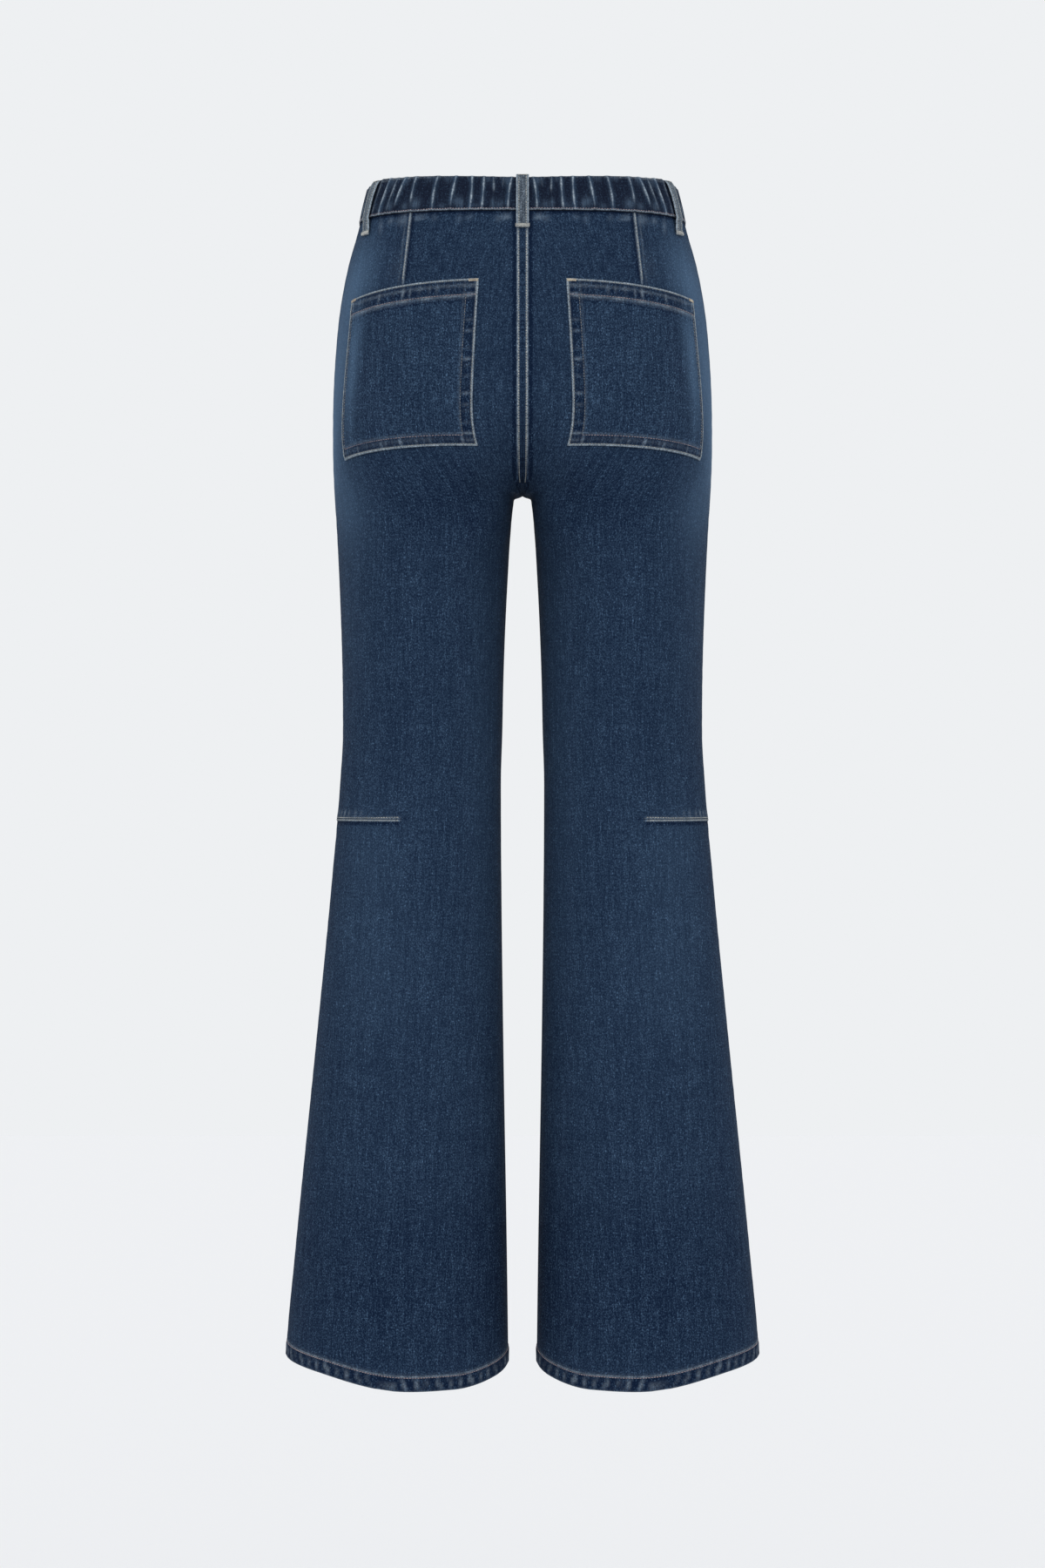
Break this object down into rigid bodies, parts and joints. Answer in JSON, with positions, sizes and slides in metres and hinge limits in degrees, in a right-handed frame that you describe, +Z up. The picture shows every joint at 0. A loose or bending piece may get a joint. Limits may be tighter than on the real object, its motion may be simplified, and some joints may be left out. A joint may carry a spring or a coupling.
{
  "type": "wide leg jeans",
  "caption": "High-waisted wide leg denim jeans with a gathered elastic back waist and patch pockets, hollow, in worn shape.",
  "frame": {"origin": "middle of the waist opening, at the level of the waistband's top edge", "axes": "+Z up along the standing wearer, -Y the garment's front, +Y its back, +X the wearer's left"},
  "size_m": [0.4292, 0.2356, 1.0772],
  "materials": {
    "denim": "stonewashed dark blue stretch denim, tan topstitching",
    "waistband_denim": "unfaded dark blue denim over gathered elastic, crests worn pale",
    "loop_denim": "folded denim strip worn grey-blue, tan stitching",
    "button_metal": "aged brass, plain domed"
  },
  "bodies": {
    "root": {"back_panel_left": "denim", "back_panel_right": "denim", "front_panel_left": "denim", "front_panel_right": "denim", "back_pocket_left": "denim", "back_pocket_right": "denim", "waistband_back": "waistband_denim", "waistband_front_left": "waistband_denim", "waistband_front_right": "waistband_denim", "belt_loop_back": "loop_denim", "belt_loop_side_left": "loop_denim", "belt_loop_side_right": "loop_denim", "belt_loop_front_left": "loop_denim", "belt_loop_front_right": "loop_denim", "waist_button": "button_metal"}
  },
  "joints": []
}
